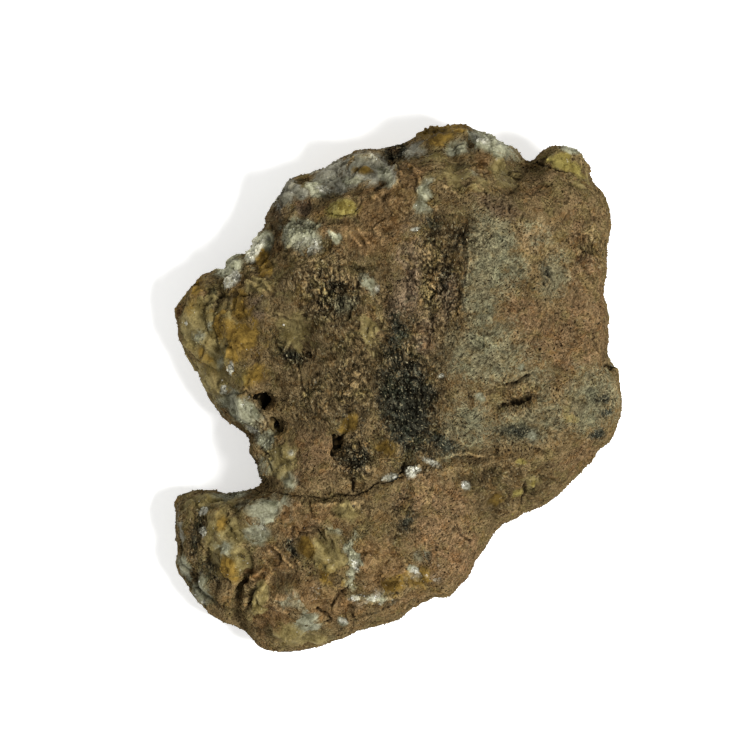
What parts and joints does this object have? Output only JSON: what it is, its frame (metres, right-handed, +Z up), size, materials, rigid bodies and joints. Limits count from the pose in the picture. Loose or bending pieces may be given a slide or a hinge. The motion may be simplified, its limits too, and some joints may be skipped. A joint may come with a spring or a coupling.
{
  "type": "rough quartz stone",
  "caption": "Rough iron-stained quartz stone with a side notch, a stepped earthy top, rounded quartz lumps and a flat broken underside.",
  "frame": {"origin": "middle of the bounding box in plan, at the flat underside", "axes": "+Z up from the flat underside; +Y along the stone's length, away from its foot; the notch is on the -X side"},
  "size_m": [0.09, 0.106, 0.041],
  "materials": {
    "stained_quartz": "dull earth crust and iron staining, glassy only on bare quartz"
  },
  "bodies": {
    "root": {"quartz_stone": "stained_quartz"}
  },
  "joints": []
}
